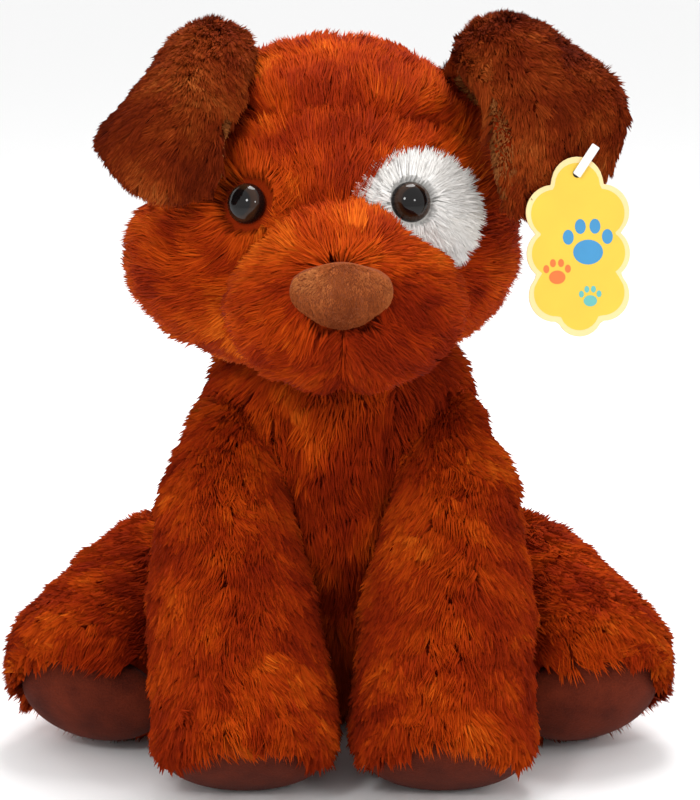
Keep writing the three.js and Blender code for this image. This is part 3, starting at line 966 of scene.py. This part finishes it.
def make_torso():
    skin = stuffed(
        "torso_skin",
        [
            blob((0, 20, 51), (68, 60, 57)),
            blob((0, 8, 84), (62, 54, 50)),
            blob((0, 4, 112), (60, 50, 44)),
            blob((0, 0, 134), (52, 45, 34)),
        ],
    )
    chest_seams = []
    for side in (-1, 1):
        seam = [(side * 26, -40, 142), (side * 20, -46, 118), (side * 22, -46, 92), (side * 34, -40, 62)]
        chest_seams.append(on_skin(skin, seam))
    spine = on_skin(skin, [(0, 44, 140), (0, 56, 105), (0, 78, 60)])
    puff(skin, chest_seams + [spine])
    pull_seams(skin, chest_seams + [spine], depth=3)
    finish_skin(skin, BACKING, None, ["torso_cover", "torso_stuffing"])

    def front(points):
        return (points[:, 1] < 4 * MM) & (points[:, 2] < 158 * MM)

    def back(points):
        return (points[:, 1] >= 4 * MM) & (points[:, 2] < 160 * MM)

    down = brushed_from(at(0, 10, 170), (0, 0, -0.9))
    piles = [
        grow_pile("torso_pile_chest", skin, 26000, down, ORANGE, 51, keep=front, seams=chest_seams),
        grow_pile("torso_pile_back", skin, 29000, down, ORANGE, 52, keep=back, seams=[spine]),
    ]
    for piece in [skin, *piles]:
        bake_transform(piece)


# ------------------------------------------------------------------ legs and tail


def sole_pad(name, centre, direction, radii, thickness):
    """A domed suede pad across the end of a limb."""
    bpy.ops.object.select_all(action="DESELECT")
    bpy.ops.mesh.primitive_uv_sphere_add(segments=64, ring_count=32, radius=1)
    pad = bpy.context.object
    pad.name = name
    pad.scale = (radii[0] * MM, radii[1] * MM, thickness * MM)
    pad.rotation_euler = direction.to_track_quat("Z", "Y").to_euler()
    pad.location = centre - direction * 0.4 * thickness * MM
    return settle(pad)


def make_limb(body, cover_nodes, sole_node, stations, extra, sole, seed, count):
    """A stuffed limb, its sole and its pile, brushed from the body towards the paw. `stations` lists
    (centre, radius) down the limb; `sole` has its own centre, direction and size."""
    balls = []
    for (start, first), (end, last) in zip(stations[:-1], stations[1:]):
        balls += beads(start, end, (first, last), 6)
    skin = stuffed(f"{body}_skin", balls + [blob(*part) for part in extra])
    puff(skin, [], pressure=3.0, cap=2.5)
    centre, direction = at(*sole["centre"]), Vector(sole["direction"]).normalized()
    points, facing = points_of(skin.data), np.array(direction)
    # The end of the skin is flat, 4 mm behind the sole's middle, so that it never shows through the pad.
    past = np.maximum((points - np.array(centre)) @ facing + 4 * MM, 0)
    put_points(skin.data, points - past[:, None] * facing)
    finish_skin(skin, BACKING, body, cover_nodes)
    pad = sole_pad(f"{body}_sole", centre, direction, sole["radii"], sole["thickness"])
    finish_skin(pad, SUEDE, body, [sole_node])
    places = np.array([at(*place) for place, radius in stations])
    ways = unit(np.gradient(places, axis=0))

    def along_limb(points, normals):
        gaps = np.linalg.norm(points[:, None] - places[None], axis=2)
        share = np.exp(-gaps / (14 * MM))
        return unit(share @ ways) + np.array((0, 0, -0.12))

    right = unit(np.cross(facing, np.array((0.0, 0.0, 1.0))))
    above = np.cross(right, facing)

    def off_the_sole(points):
        gap = points - np.array(centre)
        x = gap @ right / ((sole["radii"][0] - 1) * MM)
        y = gap @ above / ((sole["radii"][1] - 1) * MM)
        y[y < 0] *= 0.6  # bare further down, where the sole meets the floor
        return ~((gap @ facing > -16.0 * MM) & (x**2 + y**2 < 1))

    pile = grow_pile(f"{body}_pile", skin, count, along_limb, ORANGE, seed, keep=off_the_sole)
    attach(pile, body)


def make_legs():
    for index, (name, side) in enumerate((("left", 1), ("right", -1))):
        make_limb(
            f"front_leg_{name}",
            [f"front_leg_cover_{name}", f"front_leg_stuffing_{name}"],
            f"front_sole_{name}",
            [
                ((side * 40, -18, 122), 17),
                ((side * 44, -36, 100), 25),
                ((side * 41, -59, 64), 32),
                ((side * 37 + 2, -82, 27), 35),
            ],
            [((side * 37 + 2, -92, 23), (35, 33, 26))],
            {
                "centre": (side * 37 + 2, -97, 13),
                "direction": (0, -0.62, -0.78),
                "radii": (29, 24),
                "thickness": 9,
            },
            61 + index,
            42000,
        )
        make_limb(
            f"hind_leg_{name}",
            [f"hind_leg_cover_{name}", f"hind_leg_stuffing_{name}"],
            f"hind_sole_{name}",
            [((side * 68, 14, 44), 38), ((side * 82, -8, 38), 36), ((side * 95, -32, 33), 34)],
            [],
            {
                "centre": (side * 96, -47, 22),
                "direction": (side * 0.30, -0.82, -0.48),
                "radii": (29, 22),
                "thickness": 11,
            },
            71 + index,
            37000,
        )


def make_tail():
    skin = stuffed("tail_skin", beads((0, 74, 34), (17, 108, 39), (15, 15, 13.5, 12)), 2.5, 6)
    puff(skin, [], cap=1.5)
    finish_skin(skin, BACKING, "tail", ["tail_cover", "tail_stuffing"])
    pile = grow_pile("tail_pile", skin, 7000, brushed_to((0.42, 0.9, 0.1)), ORANGE, 81, length=11)
    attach(pile, "tail")


# ------------------------------------------------------------------ hang tag and label

TAG_HOLE_CENTRE = at(86, -69, 229)
TAG_NORMAL = Vector((0.12, -0.97, 0.17)).normalized()


def tag_frame():
    """Card coordinates: X across, Y up, Z out of the printed face, with the hole at the origin."""
    across = UP.cross(TAG_NORMAL).normalized()
    up = TAG_NORMAL.cross(across)
    turn = Matrix((across, up, TAG_NORMAL)).transposed().to_4x4()
    return Matrix.Translation(TAG_HOLE_CENTRE) @ turn


def cloud_outline(lobes, middle, steps=120):
    """The outer edge of overlapping discs, seen from `middle`."""
    outline = []
    for k in range(steps):
        angle = 2 * pi * k / steps
        ray = np.array([cos(angle), sin(angle)])
        reach = 0
        for x, y, radius in lobes:
            offset = np.array([x, y]) - middle
            along = offset @ ray
            miss = offset @ offset - along**2
            if miss < radius**2:
                reach = max(reach, along + (radius**2 - miss) ** 0.5)
        outline.append(middle + ray * reach)
    return outline


def flat_piece(name, outline, bottom, top, material, bevel=0.0):
    """A flat piece in card coordinates, cut to an outline in millimetres."""
    mesh = bpy.data.meshes.new(name)
    mesh.from_pydata([(x * MM, y * MM, bottom * MM) for x, y in outline], [], [range(len(outline))])
    obj = bpy.data.objects.new(name, mesh)
    scene.collection.objects.link(obj)
    only(obj)
    bpy.ops.object.mode_set(mode="EDIT")
    bpy.ops.mesh.select_all(action="SELECT")
    bpy.ops.mesh.extrude_region_move(TRANSFORM_OT_translate={"value": (0, 0, (top - bottom) * MM)})
    bpy.ops.mesh.select_all(action="SELECT")
    bpy.ops.mesh.normals_make_consistent(inside=False)
    bpy.ops.object.mode_set(mode="OBJECT")
    if bevel:
        corner = radians(50)
        apply_modifier(obj, "BEVEL", width=bevel * MM, segments=2, limit_method="ANGLE", angle_limit=corner)
    obj.data.materials.append(material)
    obj.data.transform(tag_frame())
    return obj


def disc(x, y, radius, tall=None, steps=28):
    tall = tall or radius
    return [(x + radius * cos(2 * pi * k / steps), y + tall * sin(2 * pi * k / steps)) for k in range(steps)]


def paw_print(x, y, size):
    """A pad and four toes."""
    shapes = [disc(x, y - 0.25 * size, 0.55 * size, 0.45 * size)]
    for dx, dy in ((-0.72, 0.30), (-0.27, 0.68), (0.27, 0.68), (0.72, 0.30)):
        shapes.append(disc(x + dx * size, y + dy * size, 0.20 * size, 0.27 * size))
    return shapes


def make_tag():
    lobes = [(0, -3.5, 9.5), (-9, -14, 10), (9, -14, 10), (-9.5, -29, 9.5), (9.5, -29, 9.5)]
    lobes += [(-9, -44, 9.5), (9, -44, 9.5), (0, -50.5, 8.5), (0, -28, 14)]
    yellow = plastic_material("tag_card", (0.80, 0.53, 0.04), 0.5, 60)
    rim_ink = plastic_material("tag_rim_ink", (0.86, 0.66, 0.30), 0.5, 60)
    blue = plastic_material("tag_blue_ink", (0.035, 0.26, 0.52), 0.4, 90)
    orange = plastic_material("tag_orange_ink", (0.75, 0.16, 0.02), 0.4, 90)
    teal = plastic_material("tag_teal_ink", (0.12, 0.45, 0.42), 0.4, 90)
    middle = np.array([0.0, -26.0])
    card = flat_piece("tag_cloud_card", cloud_outline(lobes, middle), -0.4, 0.4, rim_ink, 0.15)
    inner = [(x * 0.93, -26 + (y + 26) * 0.955, radius - 1.2) for x, y, radius in lobes]
    face = flat_piece("tag_yellow_print", cloud_outline(inner, middle), 0.40, 0.46, yellow)
    prints = []
    for name, ink, shapes in (
        ("tag_blue_paw", blue, paw_print(3.5, -26, 10)),
        ("tag_orange_paw", orange, paw_print(-8, -36, 5.5)),
        ("tag_teal_paw", teal, paw_print(4, -45, 4.5)),
    ):
        parts = [flat_piece(f"{name}_{k}", shape, 0.46, 0.52, ink) for k, shape in enumerate(shapes)]
        prints.append(join(parts, name))
    dark = plastic_material("hole_dark", (0.02, 0.01, 0.01), 0.8)
    eyelet = flat_piece("tag_hole_print", disc(0, 0, 1.6), 0.46, 0.50, dark)
    for piece in [card, face, eyelet, *prints]:
        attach(piece, "tag")
    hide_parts("hang_tag")

    white = plastic_material("fastener_white", (0.82, 0.82, 0.80), 0.35)
    bpy.ops.object.select_all(action="DESELECT")
    bpy.ops.mesh.primitive_cube_add(size=1)
    paddle = bpy.context.object
    paddle.name = "tag_fastener_paddle"
    paddle.scale = (3.2 * MM, 13 * MM, 1.0 * MM)
    bpy.ops.object.transform_apply(location=False, rotation=False, scale=True)
    bpy.ops.object.mode_set(mode="EDIT")
    bpy.ops.mesh.select_all(action="SELECT")
    bpy.ops.transform.translate(value=(0, 5.5 * MM, 2.0 * MM))
    bpy.ops.object.mode_set(mode="OBJECT")
    apply_modifier(paddle, "BEVEL", width=0.45 * MM, segments=3)
    bpy.ops.object.select_all(action="DESELECT")
    pin_place = at(0, 0, -1.6)
    bpy.ops.mesh.primitive_cylinder_add(radius=0.7 * MM, depth=8 * MM, vertices=20, location=pin_place)
    pin = settle(bpy.context.object)
    fastener = join([paddle, pin], "tag_fastener_pin")
    fastener.data.transform(tag_frame() @ Matrix.Rotation(radians(-35), 4, "Z"))
    fastener.data.materials.clear()
    fastener.data.materials.append(white)
    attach(fastener, "ear_left")
    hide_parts("tag_fastener")


def make_label():
    """A satin ribbon folded in half, with its two ends sewn into the seam of the seat."""
    satin = plastic_material("label_satin", (0.78, 0.77, 0.74), 0.35, 1400)
    half, tall, ply = 12, 30, 0.5  # half its folded length, its width, and half the way between its two plies
    out = Vector((cos(radians(120)), sin(radians(120)), 0))
    across = UP.cross(out)
    path = [(-half + 2 * half * k / 10, ply) for k in range(11)]
    path += [(half + ply * sin(pi * k / 5), ply * cos(pi * k / 5)) for k in range(1, 5)]
    path += [(half - 2 * half * k / 10, -ply) for k in range(11)]
    points, faces, cells = [], [], 6
    for x, y in path:
        bow = 1.6 * sin(pi * (x + half) / (2 * half))
        for j in range(cells + 1):
            height = tall * (j / cells - 0.5)
            ripple = 0.5 * sin(height / 5) * (x + half) / (2 * half)
            points.append(at(-35, 74, 30) + (out * x + across * (y + bow + ripple) + UP * height) * MM)
    for k in range(len(path) - 1):
        for j in range(cells):
            corner = k * (cells + 1) + j
            faces.append((corner, corner + cells + 1, corner + cells + 2, corner + 1))
    mesh = bpy.data.meshes.new("care_label_ribbon")
    mesh.from_pydata(points, [], faces)
    ribbon = bpy.data.objects.new("care_label_ribbon", mesh)
    scene.collection.objects.link(ribbon)
    apply_modifier(ribbon, "SOLIDIFY", thickness=0.25 * MM, offset=0)
    bpy.ops.object.shade_smooth()
    ribbon.data.materials.append(satin)
    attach(ribbon, "torso")
    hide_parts("care_label")


def dress_hidden_nodes():
    """The washers and the pellet bag inside keep their own shapes."""
    cloth = nap_material("pellet_cloth", NAP, (0.45, 0.42, 0.36), (0.62, 0.59, 0.52), 120.0, 2600.0)
    washer = plastic_material("washer_plastic", (0.75, 0.75, 0.73), 0.45)
    for name, material in (
        ("pellet_bag", cloth),
        ("eye_washer_left", washer),
        ("eye_washer_right", washer),
    ):
        nodes[name].data.materials.clear()
        nodes[name].data.materials.append(material)


add_camera()
add_stage()
make_head()
make_nose()
make_eyes()
make_ears()
make_torso()
make_legs()
make_tail()
make_tag()
make_label()
dress_hidden_nodes()
